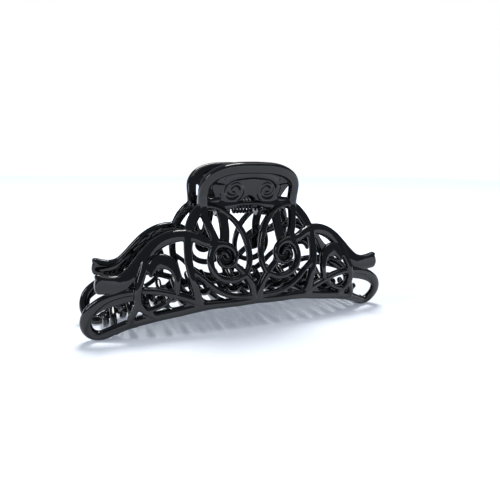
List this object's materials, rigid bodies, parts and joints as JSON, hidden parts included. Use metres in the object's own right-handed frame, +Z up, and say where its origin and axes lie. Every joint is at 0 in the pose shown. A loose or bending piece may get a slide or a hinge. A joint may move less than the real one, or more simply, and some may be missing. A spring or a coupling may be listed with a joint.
{
  "type": "claw clip",
  "caption": "Hair claw clip with open scrollwork jaws, curved meshing teeth, thumb grips and a sprung hinge.",
  "frame": {"origin": "on the resting surface, below the middle of the clip", "axes": "+X along the hinge pin and the length of the clip, +Y from the front jaw to the rear jaw, +Z up towards the thumb grips"},
  "size_m": [0.1052, 0.0296, 0.0524],
  "materials": {
    "jaw_plastic": "black, moulded, high gloss",
    "pin_steel": "drawn steel rod",
    "spring_steel": "oiled spring wire"
  },
  "bodies": {
    "front_jaw": {"front_thumb_grip": "jaw_plastic", "front_grip_scrolls": "jaw_plastic", "front_hinge_bridge": "jaw_plastic", "front_left_middle_scrolls": "jaw_plastic", "front_right_middle_scrolls": "jaw_plastic", "front_left_wing": "jaw_plastic", "front_right_wing": "jaw_plastic", "front_left_teeth": "jaw_plastic", "front_middle_teeth": "jaw_plastic", "front_right_teeth": "jaw_plastic", "hinge_pin": "pin_steel", "torsion_spring": "spring_steel"},
    "rear_jaw": {"rear_thumb_grip": "jaw_plastic", "rear_grip_scrolls": "jaw_plastic", "rear_hinge_bridge": "jaw_plastic", "rear_left_middle_scrolls": "jaw_plastic", "rear_right_middle_scrolls": "jaw_plastic", "rear_left_wing": "jaw_plastic", "rear_right_wing": "jaw_plastic", "rear_left_teeth": "jaw_plastic", "rear_middle_teeth": "jaw_plastic", "rear_right_teeth": "jaw_plastic"}
  },
  "joints": [
    {"name": "jaw_hinge", "type": "hinge", "parent": "front_jaw", "child": "rear_jaw", "pos_m": [0, 0, 0.038], "axis": [1, 0, 0], "range_deg": [0, 60], "stiffness_Nm_per_rad": 0.04, "springref_deg": -22.92, "deforming": ["torsion_spring"]}
  ]
}
